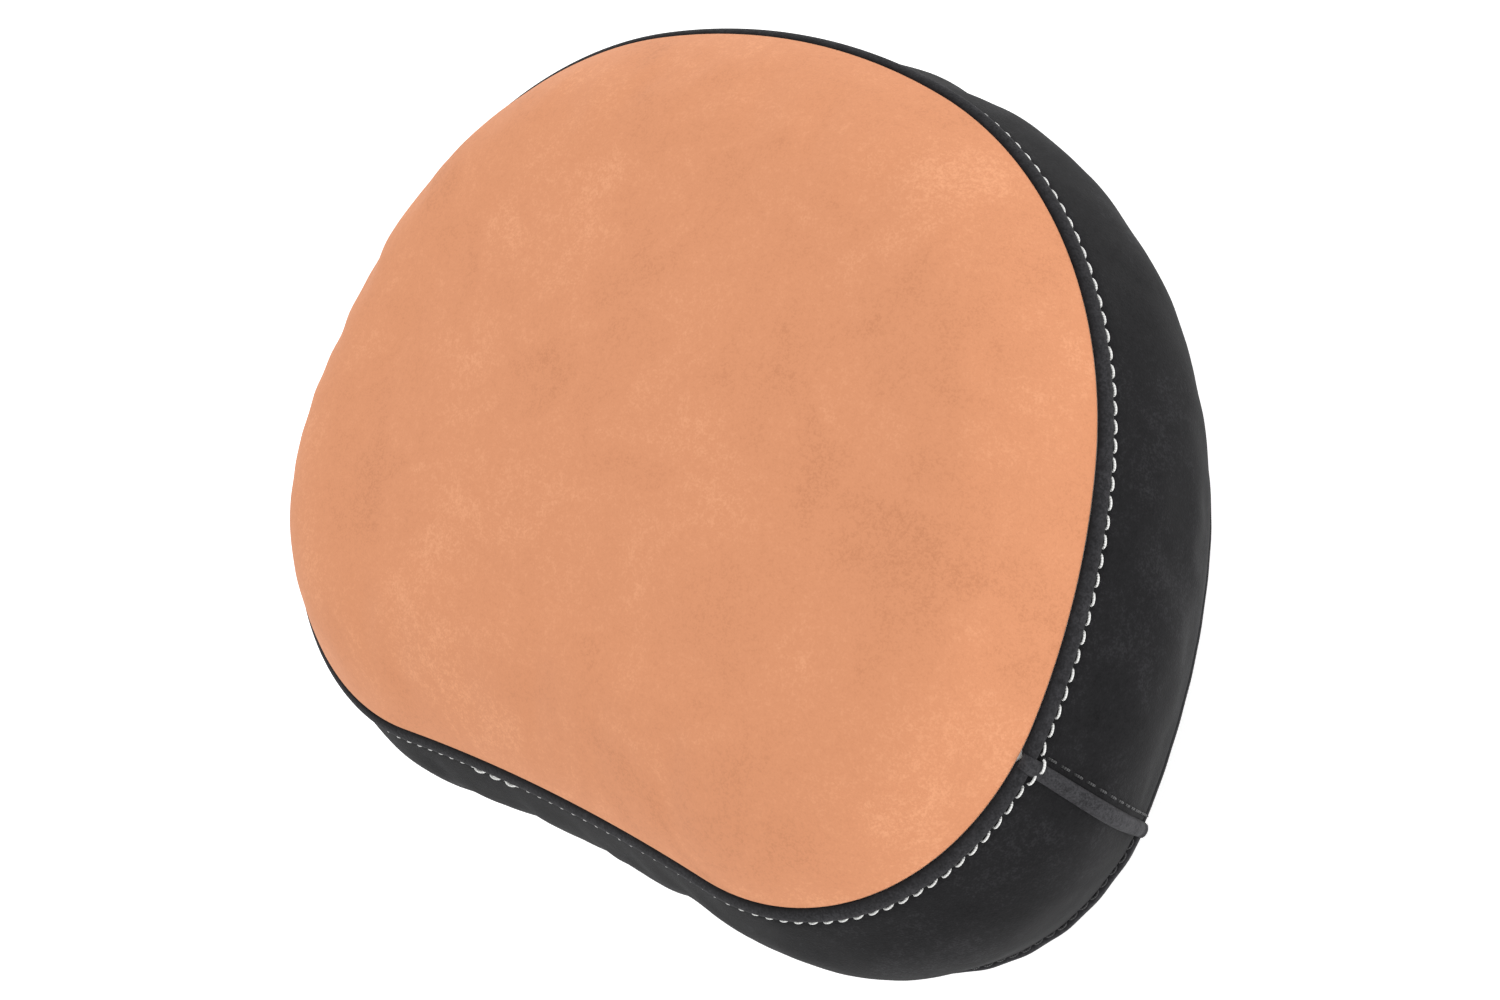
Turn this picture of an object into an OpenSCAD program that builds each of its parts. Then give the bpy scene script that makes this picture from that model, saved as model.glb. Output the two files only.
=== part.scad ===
// Seat of a drum throne: a sewn suede cushion on a plywood board, with the
// split hub under it that clamps onto a round post.
// Frame: +Z up, +Y towards the rounded back, +X across. The origin is on the
// post's axis, at the mouth of the socket. Millimetres.

/* [Outline] */
// Width of the top at its seam
top_width = 430; // [370:1:500]
// Depth of the top at its seam, back to front
top_depth = 336; // [290:1:390]
// Radius of the rounded back edge
back_radius = 314; // [290:1:350]
// Radius of each back shoulder
shoulder_radius = 176; // [155:1:195]
// Radius of each side
side_radius = 274; // [245:1:300]
// How far in front of mid-depth the seat is widest
widest_forward = 40; // [30:1:60]
// Radius of each front lobe
lobe_radius = 112; // [95:1:125]
// Radius of the hollow front edge
front_radius = 1100; // [800:10:2000]
// How far the middle of the front edge stays behind half the depth
front_hollow = 9; // [2:0.5:14]

/* [Cover] */
// Thickness of the suede
suede_t = 1.4; // [1:0.1:2]
// Height of the side band, from its hem to the top seam
band_height = 101; // [75:1:125]
// How far the side band swells out at mid-height
band_swell = 15.5; // [8:0.5:20]
// Inset of the base outline from the top outline
base_inset = 9; // [0:0.5:14]
// How far the top outline sits behind the base outline
top_setback = 19; // [0:1:26]
// How far round its front lobe each corner seam lies, in degrees
corner_seam_turn = 5; // [3:1:20]
// Width of the folded hem at the foot of the band
hem_width = 7; // [5:0.5:10]
// How far the folded hem stands proud of the band
hem_proud = 1.2; // [0.5:0.1:2]
// Height of the edge skirt left showing under the hem
skirt_show = 7; // [4:0.5:10]
// Height of the skirt up the board's edge
skirt_rise = 13; // [10:0.5:14]
// Width of the skirt turned under the board
skirt_turn = 28; // [22:1:36]
// Height of the crown where its shoulder ends
crown_height = 33; // [20:1:42]
// Width of the crown's sloping shoulder
crown_run = 78; // [60:1:84]
// Extra rise at the middle of the crown
crown_middle = 6; // [0:0.5:9]
// Fullness of the crown's shoulder
crown_power = 3.2; // [2:0.1:3.6]
// Air between two layers of the cushion
layer_gap = 0.3; // [0.2:0.1:0.6]

/* [Padding] */
// Thickness of the fleece wrap
fleece_t = 4; // [3:0.5:6]
// Thickness of the firm lower foam
support_foam_t = 50; // [35:1:60]

/* [Board] */
// Thickness of the plywood board
board_t = 15; // [12:1:18]
// Thickness of the black sheet under the board
dust_cover_t = 0.8; // [0.5:0.1:1.2]
// Inset of the black sheet's edge from the base outline
dust_cover_inset = 9; // [7:0.5:11]
// Gap between the black sheet's hole and the hub's flange
dust_cover_gap = 2; // [1:0.5:4]

/* [Hub] */
// Diameter of the post that the hub clamps
post_d = 25.4; // [22:0.1:30]
// Clearance between post and bush, on the radius
post_clearance = 0.1; // [0.05:0.05:0.2]
// Wall of the nylon bush
bush_wall = 2.2; // [1.5:0.1:3]
// Thickness of the bush's lip
bush_lip_t = 2; // [1.5:0.1:3]
// How far the bush's lip stands out past its sleeve
bush_lip_w = 3; // [2:0.5:4]
// Clearance between the bush and the hub, on the radius
bush_clearance = 0.05; // [0.02:0.01:0.1]
// Wall of the hub's boss
boss_wall = 6; // [5:0.5:8]
// Height of the hub, from the socket's mouth to the flange's top
hub_height = 52; // [48:1:64]
// Thickness of the flange
flange_t = 6; // [5:0.5:8]
// Width of the square flange
flange_w = 108; // [100:1:130]
// Radius of the flange's corners
flange_corner_r = 14; // [10:1:16]
// Distance between the hub's bolts, each way
hub_bolt_spacing = 78; // [74:1:84]
// Thickness of the ribs between boss and flange
rib_t = 5; // [4:0.5:7]
// Width of the slit in the boss
slit_w = 4; // [3:0.5:5]

/* [Clamp] */
// Height of the clamp bolt above the socket's mouth
clamp_z = 16; // [15:0.5:17]
// Distance of the clamp bolt from the boss's outside
clamp_offset = 12; // [11:0.5:14]
// Thickness of each clamp ear
ear_t = 10; // [8:0.5:12]
// Radius of each ear's rounded end
ear_r = 11; // [10:0.5:12]
// Diameter of the clamp bolt
clamp_bolt_d = 8; // [8:1:8]
// Clearance between the clamp bolt and its nut, on the radius
thread_clearance = 0.05; // [0.03:0.01:0.1]
// Clearance between the clamp bolt and the ears, on the radius
ear_clearance = 0.5; // [0.3:0.1:0.8]
// Gap between the clamp's tightened faces
seat_gap = 0.1; // [0.1:0.05:0.3]
// Length of the clamp bolt's round head
clamp_head_l = 18; // [17:0.5:22]
// Radius of the clamp bolt's round head
clamp_head_r = 8; // [7:0.5:9]
// Reach of the T-bar from the bolt's axis to each tip
handle_reach = 21; // [18:0.5:21]
// Diameter of the T-bar
handle_d = 6; // [5:0.5:7]
// Length of each rubber end on the T-bar
handle_end_l = 9; // [7:0.5:10]
// Wall of each rubber end
handle_end_wall = 1.5; // [1:0.25:2]

/* [Fasteners] */
// Diameter of the hub's bolts
hub_bolt_d = 6; // [6:1:6]
// How far the hub bolts' tips stay below the board's top
hub_bolt_recess = 1.2; // [0.5:0.1:3]
// Thickness of each flat and each spring washer
washer_t = 1.6; // [1.2:0.1:2]
// Clearance of bolt holes, on the radius
bolt_clearance = 0.4; // [0.3:0.1:0.8]
// Radius of each tee nut's flange
tee_flange_r = 9.5; // [8:0.5:11]
// Thickness of each tee nut's flange
tee_flange_t = 1.2; // [1:0.1:1.5]
// Length of each tee nut's barrel
tee_barrel_l = 10; // [8:0.5:11]
// Number of staples that hold the skirt
skirt_staple_count = 32; // [16:2:32]
// Number of staples that hold the dust cover
dust_staple_count = 24; // [12:2:32]
// Length of a staple's crown
staple_w = 11; // [8:0.5:13]
// Thickness of the staple wire
staple_wire = 0.7; // [0.5:0.1:1]
// Length of a staple's legs
staple_leg = 9; // [6:0.5:10]

/* [Hidden] */
$fn = 48;
cut = 1; // how far a cutting solid runs past the face it cuts

// Steps along each arc of half the outline
back_steps = 6;
shoulder_steps = 6;
side_steps = 6;
corner_steps = 1;
lobe_steps = 8;
front_steps = 4;
half_steps = back_steps + shoulder_steps + side_steps + corner_steps
    + lobe_steps + front_steps;
right_corner = back_steps + shoulder_steps + side_steps + corner_steps;
left_corner = 2 * half_steps - right_corner;

// Heights
board_bottom = hub_height;
board_top = board_bottom + board_t;
base_z = board_bottom - suede_t;
hem_z = base_z + skirt_show;
seam_z = hem_z + band_height;
support_top = board_top + support_foam_t;

// Depth of each layer's outside under the outside of the cover
fleece_in = suede_t + layer_gap;
foam_in = fleece_in + fleece_t + layer_gap;
skirt_in = suede_t + layer_gap;
board_in = skirt_in + suede_t + layer_gap;
foam_edge = foam_in + 1; // where the crown's first ring starts on the foam

// Hub and clamp
post_r = post_d / 2 + post_clearance;
bush_r = post_r + bush_wall;
hub_bore_r = bush_r + bush_clearance;
boss_r = hub_bore_r + boss_wall;
flange_z = hub_height - flange_t;
clamp_y = boss_r + clamp_offset;
ear_x = slit_w / 2 + ear_t;
clamp_bolt_r = clamp_bolt_d / 2;
nut_flats = 13;
nut_h = 6.5;
nut_pocket = 4;
nut_play = 0.15;
clamp_washer_x = ear_x + seat_gap;
clamp_washer_t = 1.6;
clamp_head_x = clamp_washer_x + clamp_washer_t + seat_gap;
bolt_past_nut = 4;
clamp_tip_x = -(ear_x - nut_pocket + nut_h + bolt_past_nut);
handle_x = clamp_head_x + clamp_head_l * 0.62;
handle_r = handle_d / 2;
handle_fit = 0.05;
handle_end_cap = 2;

// Hub bolts and tee nuts
hub_bolt_r = hub_bolt_d / 2;
hub_bolt_flats = 10;
hub_bolt_head = 4;
hub_bolt_z = flange_z - 2 * washer_t;
hub_bolt_l = board_top - hub_bolt_recess - hub_bolt_z;
flat_washer_r = 6;
spring_washer_r = 5.2;
spring_split = 1;
tee_barrel_r = hub_bolt_r + 1;
tee_play = 0.05;
tee_prong = [1, 2, 6];
tee_prong_r = 7.8;

// Staples and sheet
staple_gap = 0.1;
skirt_staple_inset = 21;
dust_staple_inset = 15;
sheet_drop = suede_t + staple_wire + staple_gap;

// Length to the corners of a hexagon with the given width across its flats
function hex_r(flats) = flats / 2 / cos(30);

function heading(v) = atan2(v.y, v.x);

// The right-hand one of the two points at r0 from c0 and r1 from c1
function meet(c0, r0, c1, r1) =
    let (d = norm(c1 - c0))
    let (along = (r0 * r0 - r1 * r1 + d * d) / (2 * d))
    let (aside = sqrt(r0 * r0 - along * along))
    let (u = (c1 - c0) / d)
    let (p = c0 + along * u + aside * [-u.y, u.x])
    let (q = c0 + along * u - aside * [-u.y, u.x])
    p.x > q.x ? p : q;

// Centres of the five tangent arcs that make half the outline
back_c = [0, top_depth / 2 - back_radius];
side_c = [top_width / 2 - side_radius, -widest_forward];
front_c = [0, front_hollow - top_depth / 2 - front_radius];
shoulder_c = meet(side_c, side_radius - shoulder_radius,
    back_c, back_radius - shoulder_radius);
lobe_c = meet(side_c, side_radius - lobe_radius,
    front_c, front_radius + lobe_radius);

// Headings at which one arc hands over to the next
shoulder_a = heading(shoulder_c - back_c);
side_a = heading(shoulder_c - side_c);
lobe_a = heading(lobe_c - side_c);
corner_a = lobe_a - corner_seam_turn;
front_a = heading(front_c - lobe_c);
hollow_a = heading(lobe_c - front_c);

// Points of an arc without its last one
function arc(c, r, from, to, steps) = [for (k = [0 : steps - 1])
    let (a = from + (to - from) * k / steps) c + r * [cos(a), sin(a)]];

// Right half of the outline, inset by d, from mid-back to mid-front
function half_outline(d) = concat(
    arc(back_c, back_radius - d, 90, shoulder_a, back_steps),
    arc(shoulder_c, shoulder_radius - d, shoulder_a, side_a, shoulder_steps),
    arc(side_c, side_radius - d, side_a, lobe_a, side_steps),
    arc(lobe_c, lobe_radius - d, lobe_a, corner_a, corner_steps),
    arc(lobe_c, lobe_radius - d, corner_a, front_a, lobe_steps),
    arc(front_c, front_radius + d, hollow_a, 90, front_steps),
    [[0, front_c.y + front_radius + d]]);

// Whole outline, inset by d, clockwise from mid-back
function outline(d) = let (half = half_outline(d))
    concat(half, [for (k = [half_steps - 1 : -1 : 1]) [-half[k].x, half[k].y]]);

// How far down the side a height lies, from 0 at the seam to 1 at the base
function fall(z) = (seam_z - z) / (seam_z - base_z);

function swell(z) = band_swell * 4 * fall(z) * (1 - fall(z)) - base_inset * fall(z);

// Ring on the cushion's side at height z, inset by d from its surface
function side_ring(z, d) = [for (p = outline(d - swell(z)))
    [p.x, p.y + top_setback * (1 - fall(z)), z]];

// The base outline, inset by d
function base_outline(d) = outline(base_inset + d);

// Ring on the base outline, which doesn't lean or swell
function base_ring(z, d) = [for (p = base_outline(d)) [p.x, p.y, z]];

function crown_z(d) = seam_z + crown_height * (1 - pow(1 - d / crown_run, crown_power));

// Ring on the crown, d in from the seam and t under its surface
function crown_ring(d, t) = [for (p = outline(d)) [p.x, p.y + top_setback, crown_z(d) - t]];

// Ring on the middle of the crown: the shoulder's inner ring made smaller by k
function middle_ring(k, t) = [for (p = outline(crown_run))
    [p.x * k, p.y * k + top_setback, seam_z + crown_height + crown_middle * (1 - k * k) - t]];

// Rings from the crown's edge, t in and t down, to its flat middle
crown_insets = [0.06, 0.14, 0.26, 0.42, 0.64, 1];
middle_sizes = [0.6, 0.3];
function crown_rings(t, edge) = concat([crown_ring(edge, t)],
    [for (u = crown_insets) if (u * crown_run > edge + 1) crown_ring(u * crown_run, t)],
    [for (k = middle_sizes) middle_ring(k, t)]);

// Heights that every layer of the side shares, so that the layers stay nested
lower_levels = [for (k = [0 : 3]) board_top + support_foam_t * k / 3];
upper_levels = [for (k = [0 : 3]) support_top + (seam_z - support_top) * k / 3];
side_levels = concat(lower_levels, [for (k = [1 : 3]) upper_levels[k]]);

// Two triangles between points a, b of one ring and c, d of the next
function quad(a, b, c, d) = [[a, b, c], [a, c, d]];

// Closed solid through a list of rings from the bottom up
module stack(rings) {
    n = len(rings[0]);
    m = len(rings);
    sides = [for (j = [0 : m - 2]) for (i = [0 : n - 1]) let (e = (i + 1) % n)
        each quad(j * n + i, j * n + e, (j + 1) * n + e, (j + 1) * n + i)];
    floor_cap = [[for (i = [n - 1 : -1 : 0]) i]];
    top_cap = [[for (i = [0 : n - 1]) (m - 1) * n + i]];
    polyhedron([for (r = rings) each r], concat(sides, floor_cap, top_cap));
}

// Dome-shaped skin between two lists of rings, both from the foot to the top
module dome_skin(outer, inner) {
    n = len(outer[0]);
    m = len(outer);
    base = m * n;
    outside = [for (j = [0 : m - 2]) for (i = [0 : n - 1]) let (e = (i + 1) % n)
        each quad(j * n + i, j * n + e, (j + 1) * n + e, (j + 1) * n + i)];
    inside = [for (j = [0 : m - 2]) for (i = [0 : n - 1]) let (e = (i + 1) % n)
        each quad(base + j * n + e, base + j * n + i,
            base + (j + 1) * n + i, base + (j + 1) * n + e)];
    foot = [for (i = [0 : n - 1]) let (e = (i + 1) % n)
        each quad(base + i, base + e, e, i)];
    top_cap = [[for (i = [0 : n - 1]) base - n + i]];
    under_cap = [[for (i = [n - 1 : -1 : 0]) base + base - n + i]];
    polyhedron(concat([for (r = outer) each r], [for (r = inner) each r]),
        concat(outside, inside, foot, top_cap, under_cap));
}

// Strip between two lists of rings, both from the top down, from one point of
// the outline to another, or all the way round
module strip(outer, inner, first, last) {
    n = len(outer[0]);
    m = len(outer);
    closed = last - first == n;
    columns = closed ? n : last - first + 1;
    loop = 2 * m;
    points = [for (c = [0 : columns - 1]) let (i = (first + c) % n)
        each concat([for (r = outer) r[i]], [for (j = [m - 1 : -1 : 0]) inner[j][i]])];
    walls = [for (c = [0 : columns - (closed ? 1 : 2)]) let (e = (c + 1) % columns)
        for (k = [loop - 1 : -1 : 0]) let (f = (k + 1) % loop)
        each quad(c * loop + k, c * loop + f, e * loop + f, e * loop + k)];
    last_base = (columns - 1) * loop;
    ends = closed ? [] : [for (j = [0 : m - 2])
        each concat(quad(j + 1, j, loop - 1 - j, loop - 2 - j),
            quad(last_base + j, last_base + j + 1,
                last_base + loop - 2 - j, last_base + loop - 1 - j))];
    polyhedron(points, concat(walls, ends));
}

module top_panel() {
    color("peru") dome_skin(crown_rings(0, fleece_in), crown_rings(suede_t, fleece_in));
}

// Heights and outward steps of the band, from the seam to the folded hem
hem_top = hem_z + hem_width;
band_levels = concat(
    [for (k = [len(side_levels) - 1 : -1 : 0]) if (side_levels[k] > hem_top + 1) [side_levels[k], 0]],
    [[hem_top, 0], [hem_top - 1, hem_proud], [hem_z + 1, hem_proud], [hem_z, 0]]);

module band(first, last) {
    strip([for (l = band_levels) side_ring(l[0], -l[1])],
        [for (l = band_levels) side_ring(l[0], suede_t)], first, last);
}

module front_band() {
    color("dimgray") band(right_corner, left_corner);
}

module rear_band() {
    color("dimgray") band(left_corner, 2 * half_steps + right_corner);
}

module fleece_wrap() {
    inner_in = fleece_in + fleece_t;
    color("whitesmoke") dome_skin(
        concat([for (z = side_levels) side_ring(z, fleece_in)], crown_rings(fleece_in, inner_in)),
        concat([for (z = side_levels) side_ring(z, inner_in)], crown_rings(inner_in, foam_edge)));
}

module comfort_foam() {
    color("khaki") stack(concat([for (z = upper_levels) side_ring(z, foam_in)],
        crown_rings(foam_in, foam_edge)));
}

module support_foam() {
    color("slategray") stack([for (z = lower_levels) side_ring(z, foam_in)]);
}

// Places a child at each of the hub's four bolts
module at_hub_bolts() {
    for (x = [-1, 1], y = [-1, 1])
        translate([x, y, 0] * hub_bolt_spacing / 2) children();
}

module base_board() {
    color("burlywood") difference() {
        translate([0, 0, board_bottom]) linear_extrude(board_t) polygon(base_outline(board_in));
        at_hub_bolts() {
            translate([0, 0, board_bottom - cut])
                cylinder(r = tee_barrel_r + tee_play, h = board_t + 2 * cut);
            translate([0, 0, board_top - tee_flange_t - tee_play])
                cylinder(r = tee_flange_r + tee_play, h = tee_flange_t + tee_play + cut);
        }
    }
}

module edge_skirt() {
    top = board_bottom + skirt_rise;
    color("black") strip(
        [base_ring(top, skirt_in), base_ring(base_z, skirt_in), base_ring(base_z, skirt_turn)],
        [base_ring(top, skirt_in + suede_t), base_ring(board_bottom, skirt_in + suede_t),
            base_ring(board_bottom, skirt_turn)], 0, 2 * half_steps);
}

// One staple, crown down at z = 0 and legs up
module staple() {
    translate([-staple_w / 2, -staple_wire / 2, 0]) cube([staple_w, staple_wire, staple_wire]);
    for (x = [-staple_w / 2, staple_w / 2 - staple_wire])
        translate([x, -staple_wire / 2, 0]) cube([staple_wire, staple_wire, staple_leg]);
}

// Places a child at even steps along the base outline, inset by d, and turns
// it along the edge
module along_edge(d, count, offset) {
    ring = base_outline(d);
    n = len(ring);
    lengths = [for (i = [0 : n - 1]) norm(ring[(i + 1) % n] - ring[i])];
    ends = [for (i = 0, sum = 0; i < n; sum = sum + lengths[i], i = i + 1) sum + lengths[i]];
    total = ends[n - 1];
    for (k = [0 : count - 1]) {
        want = total * (k + offset) / count;
        i = [for (j = [0 : n - 1]) if (ends[j] >= want) j][0];
        share = 1 - (ends[i] - want) / lengths[i];
        step = ring[(i + 1) % n] - ring[i];
        place = ring[i] + step * share;
        translate([place.x, place.y, 0]) rotate(heading(step)) children();
    }
}

module skirt_staples() {
    color("silver") along_edge(skirt_staple_inset, skirt_staple_count, 0.25)
        translate([0, 0, base_z - staple_wire]) staple();
}

module dust_cover() {
    low = board_bottom - sheet_drop - dust_cover_t;
    color("black") difference() {
        translate([0, 0, low]) linear_extrude(dust_cover_t)
            polygon(base_outline(dust_cover_inset));
        translate([0, 0, low - cut]) rounded_plate(flange_w + 2 * dust_cover_gap,
            flange_corner_r + dust_cover_gap, dust_cover_t + 2 * cut);
    }
}

module dust_cover_staples() {
    color("silver") along_edge(dust_staple_inset, dust_staple_count, 0.5)
        translate([0, 0, board_bottom - sheet_drop - dust_cover_t - staple_wire]) staple();
}

module tee_nut() {
    difference() {
        union() {
            translate([0, 0, board_top - tee_flange_t]) cylinder(r = tee_flange_r, h = tee_flange_t);
            translate([0, 0, board_top - tee_flange_t - tee_barrel_l])
                cylinder(r = tee_barrel_r, h = tee_barrel_l + tee_flange_t);
            for (a = [45 : 90 : 315]) rotate(a)
                translate([tee_prong_r - tee_prong.x / 2, -tee_prong.y / 2,
                    board_top - tee_flange_t - tee_prong.z])
                    cube(tee_prong + [0, 0, tee_flange_t / 2]);
        }
        translate([0, 0, board_top - tee_flange_t - tee_barrel_l - cut])
            cylinder(r = hub_bolt_r + tee_play, h = tee_barrel_l + tee_flange_t + 2 * cut);
    }
}

module tee_nuts() {
    color("lightsteelblue") at_hub_bolts() tee_nut();
}

// Plate with round corners, h thick
module rounded_plate(w, r, h) {
    translate([-w / 2, r - w / 2, 0]) cube([w, w - 2 * r, h]);
    translate([r - w / 2, -w / 2, 0]) cube([w - 2 * r, w, h]);
    for (x = [-1, 1], y = [-1, 1])
        translate([x * (w / 2 - r), y * (w / 2 - r), 0]) cylinder(r = r, h = h);
}

// Triangular rib from the boss out to near the flange's edge
module hub_rib() {
    reach = flange_w / 2 - 4;
    foot = bush_lip_t + 10;
    translate([0, rib_t / 2, 0]) rotate([90, 0, 0]) linear_extrude(rib_t)
        polygon([[boss_r - 2, foot], [boss_r, foot], [reach, flange_z - 3],
            [reach, flange_z + 1], [boss_r - 2, flange_z + 1]]);
}

module clamp_ears() {
    translate([-ear_x, 0, clamp_z]) rotate([0, 90, 0]) translate([0, clamp_y, 0])
        cylinder(r = ear_r, h = 2 * ear_x);
    translate([-ear_x, hub_bore_r + 1, clamp_z - ear_r])
        cube([2 * ear_x, clamp_y - hub_bore_r - 1, 2 * ear_r]);
}

module hub_casting() {
    chamfer = 1.2;
    slit_top = flange_z - 6;
    color("dimgray") difference() {
        union() {
            translate([0, 0, flange_z]) rounded_plate(flange_w, flange_corner_r, flange_t);
            rotate_extrude() polygon([[0, bush_lip_t], [boss_r - chamfer, bush_lip_t],
                [boss_r, bush_lip_t + chamfer], [boss_r, flange_z - 3], [boss_r + 3, flange_z],
                [boss_r + 3, flange_z + 1], [0, flange_z + 1]]);
            for (a = [0, 180, 270]) rotate(a) hub_rib();
            clamp_ears();
        }
        translate([0, 0, bush_lip_t - cut])
            cylinder(r = hub_bore_r, h = flange_z - bush_lip_t + cut);
        translate([-slit_w / 2, 0, bush_lip_t - cut])
            cube([slit_w, clamp_y + ear_r + cut, slit_top - bush_lip_t + cut]);
        translate([-ear_x - cut, clamp_y, clamp_z]) rotate([0, 90, 0])
            cylinder(r = clamp_bolt_r + ear_clearance, h = 2 * (ear_x + cut));
        translate([-ear_x - cut, clamp_y, clamp_z]) rotate([0, 90, 0])
            cylinder(r = hex_r(nut_flats + 2 * nut_play), h = nut_pocket + cut, $fn = 6);
        at_hub_bolts() translate([0, 0, flange_z - cut])
            cylinder(r = hub_bolt_r + bolt_clearance, h = flange_t + 2 * cut);
    }
}

module hub_bolt() {
    tip = 0.8;
    translate([0, 0, hub_bolt_z - hub_bolt_head])
        cylinder(r = hex_r(hub_bolt_flats), h = hub_bolt_head, $fn = 6);
    translate([0, 0, hub_bolt_z]) rotate_extrude() polygon([[0, -1], [hub_bolt_r, -1],
        [hub_bolt_r, hub_bolt_l - tip], [hub_bolt_r - tip, hub_bolt_l], [0, hub_bolt_l]]);
}

module hub_bolts() {
    color("silver") at_hub_bolts() hub_bolt();
}

module washer(outer, inner, t) {
    difference() {
        cylinder(r = outer, h = t);
        translate([0, 0, -cut]) cylinder(r = inner, h = t + 2 * cut);
    }
}

module hub_spring_washers() {
    color("gray") at_hub_bolts() translate([0, 0, hub_bolt_z]) difference() {
        washer(spring_washer_r, hub_bolt_r + bolt_clearance / 2, washer_t);
        translate([0, -spring_split / 2, -cut])
            cube([spring_washer_r + cut, spring_split, washer_t + 2 * cut]);
    }
}

module hub_flat_washers() {
    color("silver") at_hub_bolts() translate([0, 0, hub_bolt_z + washer_t])
        washer(flat_washer_r, hub_bolt_r + bolt_clearance / 2, washer_t);
}

module post_bush() {
    color("ivory") difference() {
        union() {
            cylinder(r = bush_r + bush_lip_w, h = bush_lip_t);
            cylinder(r = bush_r, h = flange_z - layer_gap);
        }
        translate([0, 0, -cut]) cylinder(r = post_r, h = flange_z + 2 * cut);
        translate([-slit_w / 2, 0, -cut]) cube([slit_w, bush_r + bush_lip_w + cut, flange_z + 2 * cut]);
    }
}

// Turns a child made along +Z so that it runs along +X on the clamp's axis
module on_clamp_axis(x) {
    translate([x, clamp_y, clamp_z]) rotate([0, 90, 0]) children();
}

module clamp_nut() {
    color("silver") on_clamp_axis(-ear_x + nut_pocket - nut_h) difference() {
        cylinder(r = hex_r(nut_flats), h = nut_h, $fn = 6);
        translate([0, 0, -cut]) cylinder(r = clamp_bolt_r + thread_clearance, h = nut_h + 2 * cut);
    }
}

module clamp_washer() {
    color("silver") on_clamp_axis(clamp_washer_x)
        washer(clamp_head_r, clamp_bolt_r + thread_clearance * 2, clamp_washer_t);
}

module clamp_bolt() {
    tip = 1;
    edge = 1.5;
    color("silver") difference() {
        on_clamp_axis(0) rotate_extrude() polygon([[0, clamp_tip_x],
            [clamp_bolt_r - tip, clamp_tip_x], [clamp_bolt_r, clamp_tip_x + tip],
            [clamp_bolt_r, clamp_head_x], [clamp_head_r, clamp_head_x],
            [clamp_head_r, clamp_head_x + clamp_head_l - edge],
            [clamp_head_r - edge, clamp_head_x + clamp_head_l], [0, clamp_head_x + clamp_head_l]]);
        translate([handle_x, clamp_y, clamp_z - clamp_head_r - cut])
            cylinder(r = handle_r + handle_fit, h = 2 * (clamp_head_r + cut));
    }
}

module clamp_handle() {
    half = handle_reach - handle_end_cap;
    color("silver") translate([handle_x, clamp_y, clamp_z - half])
        cylinder(r = handle_r, h = 2 * half);
}

module handle_ends() {
    outer = handle_r + handle_end_wall;
    bore = handle_end_l - handle_end_cap;
    round_r = 1.5;
    color("black") translate([handle_x, clamp_y, clamp_z]) for (side = [0, 1])
        mirror([0, 0, side]) translate([0, 0, handle_reach - handle_end_l]) rotate_extrude()
            polygon([[handle_r + handle_fit, 0], [outer, 0], [outer, handle_end_l - round_r],
                [outer - 0.4 * round_r, handle_end_l - 0.4 * round_r],
                [outer - round_r, handle_end_l], [0, handle_end_l], [0, bore + handle_fit],
                [handle_r + handle_fit, bore + handle_fit]]);
}

top_panel();
front_band();
rear_band();
fleece_wrap();
comfort_foam();
support_foam();
base_board();
edge_skirt();
skirt_staples();
dust_cover();
dust_cover_staples();
tee_nuts();
hub_casting();
hub_bolts();
hub_spring_washers();
hub_flat_washers();
post_bush();
clamp_nut();
clamp_washer();
clamp_bolt();
clamp_handle();
handle_ends();
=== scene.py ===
# %% [markdown]
# # The seat of a drum throne
# The seat is a sewn cushion: a tan suede top, a black suede side band in two
# panels, white topstitching round the rim, and under it a plywood board with a
# cast hub that clamps onto the stand's post. The hard parts come finished in
# the frame. The soft parts are made here, in the space that the frame gives
# them, because cloth needs folds, seams and thread that a solid doesn't have.

# %% Frame and tools
import math

import bmesh
import bpy
import numpy as np
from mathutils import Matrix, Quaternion, Vector, noise
from mathutils.kdtree import KDTree


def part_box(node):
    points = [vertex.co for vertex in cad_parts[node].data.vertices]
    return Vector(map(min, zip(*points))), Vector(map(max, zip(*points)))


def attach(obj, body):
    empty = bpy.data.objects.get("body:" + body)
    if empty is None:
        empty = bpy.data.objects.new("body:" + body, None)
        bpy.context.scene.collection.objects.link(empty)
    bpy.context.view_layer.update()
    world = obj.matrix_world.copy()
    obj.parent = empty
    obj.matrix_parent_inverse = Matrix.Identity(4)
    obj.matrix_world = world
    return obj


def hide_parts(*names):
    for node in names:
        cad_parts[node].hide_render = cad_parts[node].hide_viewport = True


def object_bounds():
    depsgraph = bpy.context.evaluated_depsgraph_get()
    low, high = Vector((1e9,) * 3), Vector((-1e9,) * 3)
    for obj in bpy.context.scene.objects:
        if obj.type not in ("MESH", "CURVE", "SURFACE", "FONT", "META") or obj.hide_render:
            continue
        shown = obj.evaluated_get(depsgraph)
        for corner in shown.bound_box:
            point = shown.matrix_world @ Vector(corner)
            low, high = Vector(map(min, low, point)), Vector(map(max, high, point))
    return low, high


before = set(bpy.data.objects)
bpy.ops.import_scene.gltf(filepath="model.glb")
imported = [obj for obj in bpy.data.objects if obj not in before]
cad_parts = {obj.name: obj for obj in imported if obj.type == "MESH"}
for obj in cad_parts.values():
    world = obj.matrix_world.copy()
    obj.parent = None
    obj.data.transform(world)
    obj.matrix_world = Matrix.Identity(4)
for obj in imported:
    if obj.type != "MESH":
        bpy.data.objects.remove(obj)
cad_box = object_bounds()
scene = bpy.context.scene
print("frame from", [round(v, 3) for v in cad_box[0]], "to", [round(v, 3) for v in cad_box[1]])

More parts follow.
